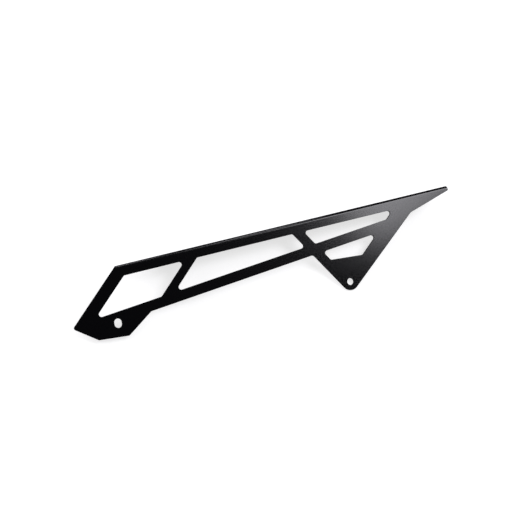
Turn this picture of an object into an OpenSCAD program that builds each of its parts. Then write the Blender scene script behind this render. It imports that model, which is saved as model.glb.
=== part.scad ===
// Chain guard of a motorcycle, cut from one aluminium sheet and folded once along its top edge.
// It lies face up, resting on the free edge of the flange and on the tip of the leg.
// The outline is drawn flat first, with the rear screw hole at the origin and the tail to the right.

/* [Sheet] */
// Thickness of the aluminium sheet
sheet_t = 2; // [1.5:0.1:3]
// Inside radius of the fold along the top edge
fold_r = 1; // [0.8:0.1:2.5]

/* [Top edge and flange] */
// Height of the top face above the rear hole
top_h = 67.1; // [64.5:0.1:75]
// Distance of the top edge's front corner ahead of the rear hole
front_x = 212.3; // [205:0.1:222]
// Distance of the blunt tail end behind the rear hole
tail_x = 124.4; // [112:0.1:140]
// Height of the blunt tail end
tail_h = 4.7; // [3:0.1:7]
// Depth of the flange, measured from the front face
flange_w = 24; // [16:0.5:40]
// Length over which the flange widens at its front end
front_taper = 46; // [20:1:80]
// Length over which the flange narrows at its tail end
tail_taper = 60; // [20:1:90]
// Depth of the flange where the tail ends
tail_flange_w = 9; // [7:0.5:15]

/* [Screw holes] */
// Diameter of the rear hole and width of the front slot, for an M6 screw
hole_d = 6.6; // [5:0.1:7.5]
// Distance of the front slot ahead of the rear hole
slot_x = 222; // [216:0.5:230]
// Height of the front slot above the rear hole
slot_y = 17.2; // [14:0.1:20]
// Length of the front slot, over its round ends
slot_len = 8.3; // [7.6:0.1:11]

/* [Edge angles] */
// Slope of the front edge and of the two front struts
strut_a = 42.6; // [38:0.1:46]
// Slope of the nose's underside, falling toward the tail
nose_a = 37.8; // [33:0.1:42]
// Slope of the chin below the front slot, falling toward the tail
chin_a = 5.9; // [3:0.1:9]
// Slope of the heel between the chin and the lower bar
heel_a = 33.6; // [28:0.1:39]
// Slope of the lower bar
bar_a = 4.6; // [3.6:0.1:5.4]
// Slope of the rear strut, falling toward the leg's tip
rear_a = 58.9; // [54:0.1:63]
// Slope of the leg's rear edge
leg_a = 37.3; // [35:0.1:39.5]
// Slope of the tail's underside
tail_a = 15.3; // [13:0.1:18]
// Slope of the tail-side ends of the two rear windows
end_a = 38.9; // [36:0.1:42]

/* [Widths and margins] */
// Width of the strip above the windows
top_w = 10.2; // [8:0.1:13]
// Width of the front strut
front_w = 11.3; // [9:0.1:14]
// Where the middle strut's centre line meets the top face, ahead of the rear hole
mid_x = 133; // [120:0.2:150]
// Width of the middle strut
mid_w = 7.7; // [6:0.1:11]
// Height of the lower bar's underside right above the rear hole
bar_h = 35.3; // [33:0.1:37.5]
// Width of the lower bar
bar_w = 9.55; // [7:0.05:12]
// Width of the rear strut
rear_w = 9.2; // [7:0.1:12]
// Radius of the leg's tip round the rear hole
leg_r = 8.15; // [7:0.05:10]
// Distance from the front slot's centre to the nose's underside
nose_gap = 20.3; // [17:0.1:24]
// Distance from the front slot's centre to the chin
chin_gap = 12.4; // [9:0.1:16]
// Distance from the front slot's centre to the heel
heel_gap = 14.9; // [12:0.1:18]
// Distance from the rear hole's centre to the floor of the leg window
foot_gap = 23.3; // [18:0.1:27]
// Slope of the leg window's floor, falling toward the tail
foot_a = 5; // [3:0.1:8]
// Distance from the rear hole's centre to the end line of the leg window
leg_end = 4.9; // [3:0.05:8]
// Distance from the rear hole's centre to the end line of the tail window
tail_end = 5.3; // [4:0.05:10]

/* [Corner radii] */
// Radius in the windows' corners
window_r = 2.4; // [1.5:0.1:3]
// Radius of the nose's two corners and of the chin's
nose_r = 2; // [1:0.1:4]
// Radius in the outline's inner corners
inner_r = 3; // [1:0.1:6]
// Radius of the tail's two corners
tail_r = 1.2; // [0.5:0.1:1.6]
// Radius where the flange's edge turns
flange_r = 12; // [4:1:20]

/* [Hidden] */
$fn = 96;

fold_out = fold_r + sheet_t;
clear = 1;
// A rounding circle is larger by this, so that it crosses the edges it rounds and doesn't graze them
cross = 0.004;
far_x = 2 * front_x;

// A straight edge is its slope and how far the rear hole lies to its right
function square_to(a) = [-sin(a), cos(a)];
function edge(a, gap) = [a, gap];
function edge_at(p, a) = [a, p * square_to(a)];
function beside(e, gap) = [e[0], e[1] + gap];
function meet(e, f) =
    let (n = square_to(e[0]), m = square_to(f[0]), k = n[0] * m[1] - n[1] * m[0])
    [(e[1] * m[1] - f[1] * n[1]) / k, (f[1] * n[0] - e[1] * m[0]) / k];

slot_at = [-slot_x, slot_y];
top = edge(0, top_h);
window_top = beside(top, -top_w);
front = edge_at([-front_x, top_h], strut_a);
nose = beside(edge_at(slot_at, -nose_a), -nose_gap);
chin = beside(edge_at(slot_at, -chin_a), -chin_gap);
heel = beside(edge_at(slot_at, heel_a), -heel_gap);
middle = edge_at([-mid_x, top_h], strut_a);
bar_under = edge_at([0, bar_h], bar_a);
bar_over = beside(bar_under, bar_w);
rear_front = edge(-rear_a, -leg_r);
rear_back = beside(rear_front, rear_w);
leg = edge(leg_a, -leg_r);
tail_under = edge_at([tail_x, top_h - tail_h], tail_a);
tail_cut = edge_at([tail_x, top_h], 90);

outline = [
    meet(top, front),
    meet(front, nose),
    meet(nose, chin),
    meet(chin, heel),
    meet(heel, bar_under),
    meet(bar_under, rear_front),
    meet(rear_front, leg),
    meet(leg, tail_under),
    meet(tail_under, tail_cut),
    meet(tail_cut, top)
];
outline_r = [0, nose_r, nose_r, nose_r, inner_r, inner_r, leg_r, inner_r, tail_r, tail_r];

windows = [
    [window_top, beside(front, -front_w), bar_over, beside(middle, mid_w / 2)],
    [window_top, beside(middle, -mid_w / 2), bar_over, rear_front],
    [window_top, rear_back, bar_over, edge(end_a, tail_end)],
    [bar_under, rear_back, edge(-foot_a, foot_gap), edge(end_a, leg_end)]
];

// The flange seen from above the fold: its cut edge runs on past the tail
flange_rise = (flange_w - tail_flange_w) / tail_taper;
flange_plan = [
    [-far_x, clear],
    [-far_x, -fold_out],
    [-front_x, -fold_out],
    [-front_x + front_taper, -flange_w],
    [tail_x - tail_taper, -flange_w],
    [tail_x + clear, clear * flange_rise - tail_flange_w],
    [tail_x + clear, clear]
];
flange_plan_r = [0, 0, 0, flange_r, flange_r, 0, 0];

// Corner i of a closed outline drawn anticlockwise: how far its rounding reaches and where it centres
function unit(v) = v / norm(v);
function corner(points, i) =
    let (
        count = len(points),
        here = points[i],
        back = unit(points[(i + count - 1) % count] - here),
        ahead = unit(points[(i + 1) % count] - here)
    )
    [here, back, ahead, acos(back * ahead) / 2, ahead[0] * back[1] - ahead[1] * back[0]];
function reach(c, r) = r / tan(c[3]);
function centre(c, r) = c[0] + unit(c[1] + c[2]) * r / sin(c[3]);

// The tilt at which the flange's free edge and the leg's tip touch the same surface
tilt = atan((flange_w - sheet_t) / (top_h - sheet_t + leg_r));
lift = leg_r * sin(tilt) + sheet_t * cos(tilt);

// Reach of the tilted guard along and across, so that it lies centred on the origin
nose_tip = centre(corner(outline, 1), nose_r)[0] - nose_r;
near_side = -leg_r * cos(tilt);
far_side = top_h * cos(tilt) + flange_w * sin(tilt);
middle_of_guard = [(nose_tip + tail_x) / 2, (near_side + far_side) / 2];

// An outline with each corner rounded by its own radius, as a true arc
module rounded(points, radii) {
    corners = [for (i = [0:len(points) - 1]) corner(points, i)];
    difference() {
        union() {
            polygon([
                for (i = [0:len(points) - 1])
                    for (side = radii[i] > 0 ? [1, 2] : [0])
                        side == 0 ? points[i]
                            : points[i] + corners[i][side] * reach(corners[i], radii[i])
            ]);
            for (i = [0:len(points) - 1])
                if (radii[i] > 0 && corners[i][4] > 0)
                    translate(centre(corners[i], radii[i]))
                        circle(r = radii[i] + cross);
        }
        for (i = [0:len(points) - 1])
            if (radii[i] > 0 && corners[i][4] < 0)
                translate(centre(corners[i], radii[i]))
                    circle(r = radii[i] + cross);
    }
}

// The sheet's section across the fold: height to the right, front face up
module fold_section() {
    translate([-2 * leg_r, -sheet_t])
        square([top_h - fold_out + 2 * leg_r, sheet_t]);
    translate([top_h - sheet_t, -flange_w])
        square([sheet_t, flange_w - fold_out]);
    intersection() {
        translate([top_h - fold_out, -fold_out])
            difference() {
                circle(r = fold_out);
                circle(r = fold_r);
            }
        translate([top_h - fold_out, -fold_out])
            square(fold_out + clear);
    }
}

module folded_sheet() {
    intersection() {
        translate([-far_x, 0, 0])
            rotate([90, 0, 90])
                linear_extrude(height = 2 * far_x)
                    fold_section();
        translate([0, 0, -flange_w - clear])
            linear_extrude(height = flange_w + 2 * clear)
                rounded(outline, outline_r);
        translate([0, top_h + clear, 0])
            rotate([90, 0, 0])
                linear_extrude(height = top_h + 3 * leg_r)
                    rounded(flange_plan, flange_plan_r);
    }
}

// A window between four edges, given top, front, floor, end
module window(edges) {
    corners = [for (i = [0:3]) meet(edges[i], edges[(i + 1) % 4])];
    translate([0, 0, -sheet_t - clear])
        linear_extrude(height = sheet_t + 2 * clear)
            rounded(corners, [for (c = corners) window_r]);
}

module screw_hole() {
    translate([0, 0, -sheet_t - clear])
        cylinder(d = hole_d, h = sheet_t + 2 * clear);
}

// The slot runs square to the line between the two screws
module screw_slot() {
    run = (slot_len - hole_d) / 2;
    translate(slot_at)
        rotate(atan2(slot_y, -slot_x) - 90) {
            for (side = [-1, 1])
                translate([side * run, 0, 0])
                    screw_hole();
            translate([-run, -hole_d / 2, -sheet_t - clear])
                cube([2 * run, hole_d, sheet_t + 2 * clear]);
        }
}

module chain_guard() {
    color([0.08, 0.08, 0.085])
        translate([-middle_of_guard[0], -middle_of_guard[1], lift])
            rotate([tilt, 0, 0])
                difference() {
                    folded_sheet();
                    for (edges = windows)
                        window(edges);
                    screw_hole();
                    screw_slot();
                }
}

chain_guard();
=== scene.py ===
# Chain guard in satin black powder coat, lying on a pale studio table.
import math

import bpy
from mathutils import Matrix, Vector


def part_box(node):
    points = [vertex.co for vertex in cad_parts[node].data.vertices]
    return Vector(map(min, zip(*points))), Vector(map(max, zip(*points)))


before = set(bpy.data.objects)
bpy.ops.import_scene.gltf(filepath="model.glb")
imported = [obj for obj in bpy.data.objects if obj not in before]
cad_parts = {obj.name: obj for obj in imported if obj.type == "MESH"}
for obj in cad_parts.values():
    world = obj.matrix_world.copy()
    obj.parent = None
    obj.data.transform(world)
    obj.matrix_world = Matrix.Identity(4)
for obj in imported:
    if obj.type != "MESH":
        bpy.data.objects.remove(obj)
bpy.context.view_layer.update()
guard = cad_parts["chain_guard"]
print("Frame loaded:", sorted(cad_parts))

mm = 0.001

# The photograph's view: from above the leg's side, turned so that the tail points up and right.
view = {
    "aim": (-13.06, 16.95, 10.0),  # mm, where the lens axis meets the guard
    "azimuth": -41.783,  # degrees, 0 looks along +Y
    "elevation": 65.564,
    "roll": 25.155,
    "distance": 842.2,  # mm
    "lens": 63.28,  # mm
    "sensor": 36,  # mm
    "shiftUp": -3 / 512,  # share of the picture's width
}


def direction(azimuth, elevation):
    # Unit vector from the object toward a place round it, in the view's own angles.
    turn = math.radians(azimuth)
    rise = math.radians(elevation)
    flat = math.cos(rise)
    return Vector((math.sin(turn) * flat, -math.cos(turn) * flat, math.sin(rise)))


def makeCamera():
    lens = bpy.data.cameras.new("viewLens")
    lens.lens = view["lens"]
    lens.sensor_width = view["sensor"]
    lens.shift_y = view["shiftUp"]
    camera = bpy.data.objects.new("viewCamera", lens)
    back = direction(view["azimuth"], view["elevation"])
    camera.location = (Vector(view["aim"]) + back * view["distance"]) * mm
    level = (-back).to_track_quat("-Z", "Y").to_matrix()
    camera.rotation_mode = "QUATERNION"
    camera.rotation_quaternion = (level @ Matrix.Rotation(math.radians(view["roll"]), 3, "Z")).to_quaternion()
    bpy.context.scene.collection.objects.link(camera)
    bpy.context.scene.camera = camera
    print("Camera set")


def linear(hexColour):
    # sRGB hex to the linear values that shaders take.
    parts = [int(hexColour[i:i + 2], 16) / 255 for i in (1, 3, 5)]
    return tuple(p / 12.92 if p <= 0.04045 else ((p + 0.055) / 1.055) ** 2.4 for p in parts) + (1,)


def addNode(tree, kind, settings=None, links=None, place=(0, 0)):
    # Settings go to sockets by name, or to the node itself. Links give a socket and where it comes from.
    node = tree.nodes.new(kind)
    node.location = place
    for name, value in (settings or {}).items():
        if isinstance(name, int) or name in node.inputs:
            node.inputs[name].default_value = value
        else:
            setattr(node, name, value)
    for name, source in (links or {}).items():
        tree.links.new(source, node.inputs[name])
    return node


def emptyMaterial(name):
    material = bpy.data.materials.new(name)
    material.use_nodes = True
    material.node_tree.nodes.clear()
    return material


# Satin black polyester powder, sprayed and baked on aluminium sheet. The eye sees a deep black
# that greys softly toward the lamp, with a faint orange peel and no metal sparkle.
powder = {
    "deep": "#040406",
    "pale": "#070709",
    "ior": 1.5,
    "roughLow": 0.153,
    "roughHigh": 0.167,
    "peelSize": 1.6,  # mm, from crest to crest of the orange peel
    "peelHeight": 0.0006,  # mm
    "peelDetail": 2.0,
    "peelRoughness": 0.45,
    "peelLow": 0.3,  # the pattern's values in the hollows and on the crests
    "peelHigh": 0.7,
    "grainSize": 0.45,  # mm, a real grain of 0.05 is too fine to show and is drawn coarser
    "grainHeight": 0.0002,  # mm
    "grainDetail": 1.0,
}


def powderCoat():
    material = emptyMaterial("satinBlackPowderCoat")
    tree = material.node_tree
    where = addNode(tree, "ShaderNodeTexCoord", place=(-1100, 0)).outputs["Object"]
    peel = addNode(
        tree,
        "ShaderNodeTexNoise",
        {
            "Scale": 1 / (powder["peelSize"] * mm),
            "Detail": powder["peelDetail"],
            "Roughness": powder["peelRoughness"],
        },
        {"Vector": where},
        (-880, 120),
    )
    grain = addNode(
        tree,
        "ShaderNodeTexNoise",
        {"Scale": 1 / (powder["grainSize"] * mm), "Detail": powder["grainDetail"]},
        {"Vector": where},
        (-880, -160),
    )
    tint = addNode(
        tree,
        "ShaderNodeMix",
        {"data_type": "RGBA", 6: linear(powder["deep"]), 7: linear(powder["pale"])},
        {"Factor": grain.outputs["Fac"]},
        (-440, 260),
    )
    rough = addNode(
        tree,
        "ShaderNodeMapRange",
        {
            "From Min": powder["peelLow"],
            "From Max": powder["peelHigh"],
            "To Min": powder["roughLow"],
            "To Max": powder["roughHigh"],
        },
        {"Value": peel.outputs["Fac"]},
        (-440, 20),
    )
    fine = addNode(
        tree,
        "ShaderNodeBump",
        {"Strength": 1.0, "Distance": powder["grainHeight"] * mm},
        {"Height": grain.outputs["Fac"]},
        (-440, -260),
    )
    bump = addNode(
        tree,
        "ShaderNodeBump",
        {"Strength": 1.0, "Distance": powder["peelHeight"] * mm},
        {"Height": peel.outputs["Fac"], "Normal": fine.outputs["Normal"]},
        (-220, -200),
    )
    coat = addNode(
        tree,
        "ShaderNodeBsdfPrincipled",
        {"IOR": powder["ior"], "Metallic": 0.0},
        {
            "Base Color": tint.outputs[2],
            "Roughness": rough.outputs["Result"],
            "Normal": bump.outputs["Normal"],
        },
        (20, 0),
    )
    addNode(tree, "ShaderNodeOutputMaterial", None, {"Surface": coat.outputs["BSDF"]}, (320, 0))
    return material


# The coat flows round every cut edge of the sheet, so each corner is a small round.
edges = {
    "weld": 0.002,  # mm, joins the faces of the sheet
    "flatWithin": 0.2,  # degrees, triangles this level with each other become one face
    "round": 0.35,  # mm
    "steps": 3,
    "sharpFrom": 35,  # degrees
    "largeFaces": 100,  # how much a large face leads the shading beside it
}


def dressGuard():
    guard.data.materials.clear()
    guard.data.materials.append(powderCoat())
    weld = guard.modifiers.new("joinFaces", "WELD")
    weld.merge_threshold = edges["weld"] * mm
    flat = guard.modifiers.new("joinTriangles", "DECIMATE")
    flat.decimate_type = "DISSOLVE"
    flat.angle_limit = math.radians(edges["flatWithin"])
    bevel = guard.modifiers.new("coatRound", "BEVEL")
    bevel.width = edges["round"] * mm
    bevel.segments = edges["steps"]
    bevel.limit_method = "ANGLE"
    bevel.angle_limit = math.radians(edges["sharpFrom"])
    bevel.harden_normals = False
    smooth = guard.modifiers.new("evenShading", "WEIGHTED_NORMAL")
    smooth.keep_sharp = False
    smooth.weight = edges["largeFaces"]
    print("Guard dressed:", len(guard.data.polygons), "faces before rounding")


table = {
    "size": 2.2,  # m across
    "colour": "#b8b8b8",
    "glow": 0.685,  # what the camera sees on top of the lit surface
    "mirrored": 0.05,  # share of the lit surface that reflections show
}


def makeTable():
    half = table["size"] / 2
    mesh = bpy.data.meshes.new("tableTop")
    corners = [(-half, -half, 0), (half, -half, 0), (half, half, 0), (-half, half, 0)]
    mesh.from_pydata(corners, [], [(0, 1, 2, 3)])
    top = bpy.data.objects.new("tableTop", mesh)
    top.location.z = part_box("chain_guard")[0].z
    bpy.context.scene.collection.objects.link(top)
    material = emptyMaterial("paleTable")
    tree = material.node_tree
    rays = addNode(tree, "ShaderNodeLightPath", place=(-900, 0)).outputs
    dimmed = tuple(part * table["mirrored"] for part in linear(table["colour"])[:3]) + (1,)
    shown = addNode(
        tree,
        "ShaderNodeMix",
        {"data_type": "RGBA", 6: linear(table["colour"]), 7: dimmed},
        {0: rays["Is Glossy Ray"]},
        (-640, 100),
    )
    lit = addNode(tree, "ShaderNodeBsdfDiffuse", None, {"Color": shown.outputs[2]}, (-400, 0))
    strength = addNode(
        tree,
        "ShaderNodeMath",
        {"operation": "MULTIPLY", 1: table["glow"]},
        {0: rays["Is Camera Ray"]},
        (-640, -160),
    )
    glow = addNode(
        tree, "ShaderNodeEmission", {"Color": (1, 1, 1, 1)}, {"Strength": strength.outputs[0]}, (-400, -160)
    )
    both = addNode(tree, "ShaderNodeAddShader", None, {0: lit.outputs[0], 1: glow.outputs[0]}, (-200, 0))
    addNode(tree, "ShaderNodeOutputMaterial", None, {"Surface": both.outputs[0]}, (0, 0))
    top.data.materials.append(material)
    print("Table made")


# Each lamp: where it stands round the guard, in degrees and metres, its lean in degrees, its size in
# metres, its power in watts, and whether the coat mirrors it. The fill only softens the table's shadow.
lamps = {
    "softboxOverTail": {
        "azimuth": 94.4,
        "elevation": 58.9,
        "distance": 1.5,
        "lean": 31,
        "size": (0.67, 0.65),
        "power": 9.4,
        "colour": "#faf9ff",
        "mirrored": True,
    },
    "panelBehind": {
        "azimuth": 158.5,
        "elevation": 44,
        "distance": 1.6,
        "lean": 0,
        "size": (0.2, 0.89),
        "power": 2.0,
        "colour": "#faf9ff",
        "mirrored": True,
    },
    "paleWallBehind": {
        "azimuth": 188.5,
        "elevation": 24,
        "distance": 1.6,
        "lean": 0,
        "size": (0.77, 0.45),
        "power": 5.1,
        "colour": "#faf9ff",
        "mirrored": True,
    },
    "fillPastNose": {
        "azimuth": 235,
        "elevation": 35,
        "distance": 1.6,
        "lean": 0,
        "size": (1.0, 0.8),
        "power": 10.2,
        "colour": "#faf9ff",
        "mirrored": False,
    },
}


def makeLamps():
    for name, lamp in lamps.items():
        light = bpy.data.lights.new(name, "AREA")
        light.shape = "RECTANGLE"
        light.size, light.size_y = lamp["size"]
        light.energy = lamp["power"]
        light.color = linear(lamp["colour"])[:3]
        holder = bpy.data.objects.new(name, light)
        toward = direction(lamp["azimuth"], lamp["elevation"])
        holder.location = toward * lamp["distance"]
        holder.rotation_mode = "QUATERNION"
        lean = Matrix.Rotation(math.radians(lamp["lean"]), 3, "Z")
        holder.rotation_quaternion = (toward.to_track_quat("Z", "Y").to_matrix() @ lean).to_quaternion()
        holder.visible_camera = False
        holder.visible_glossy = lamp["mirrored"]
        bpy.context.scene.collection.objects.link(holder)
    print("Lamps set:", len(lamps))


studio = {
    "dome": 0.41,  # soft light from all round, which the table shows
    "mirrored": 0.014,  # what the coat mirrors of the dark room past the lamps
    "backdrop": 1.0,  # what the camera sees
}


def makeWorld():
    world = bpy.data.worlds.new("studio")
    bpy.context.scene.world = world
    world.use_nodes = True
    tree = world.node_tree
    tree.nodes.clear()
    rays = addNode(tree, "ShaderNodeLightPath", place=(-900, 200)).outputs
    dome = {"data_type": "FLOAT", 2: studio["dome"], 3: studio["mirrored"]}
    around = addNode(tree, "ShaderNodeMix", dome, {0: rays["Is Glossy Ray"]}, (-640, 0))
    shown = {"data_type": "FLOAT", 3: studio["backdrop"]}
    level = addNode(tree, "ShaderNodeMix", shown, {0: rays["Is Camera Ray"], 2: around.outputs[0]}, (-400, 0))
    white = {"Color": (1, 1, 1, 1)}
    sky = addNode(tree, "ShaderNodeBackground", white, {"Strength": level.outputs[0]}, (-200, 0))
    addNode(tree, "ShaderNodeOutputWorld", None, {"Surface": sky.outputs[0]}, (0, 0))
    print("World set")


makeCamera()
dressGuard()
makeTable()
makeLamps()
makeWorld()
bpy.context.scene.view_settings.view_transform = "Standard"
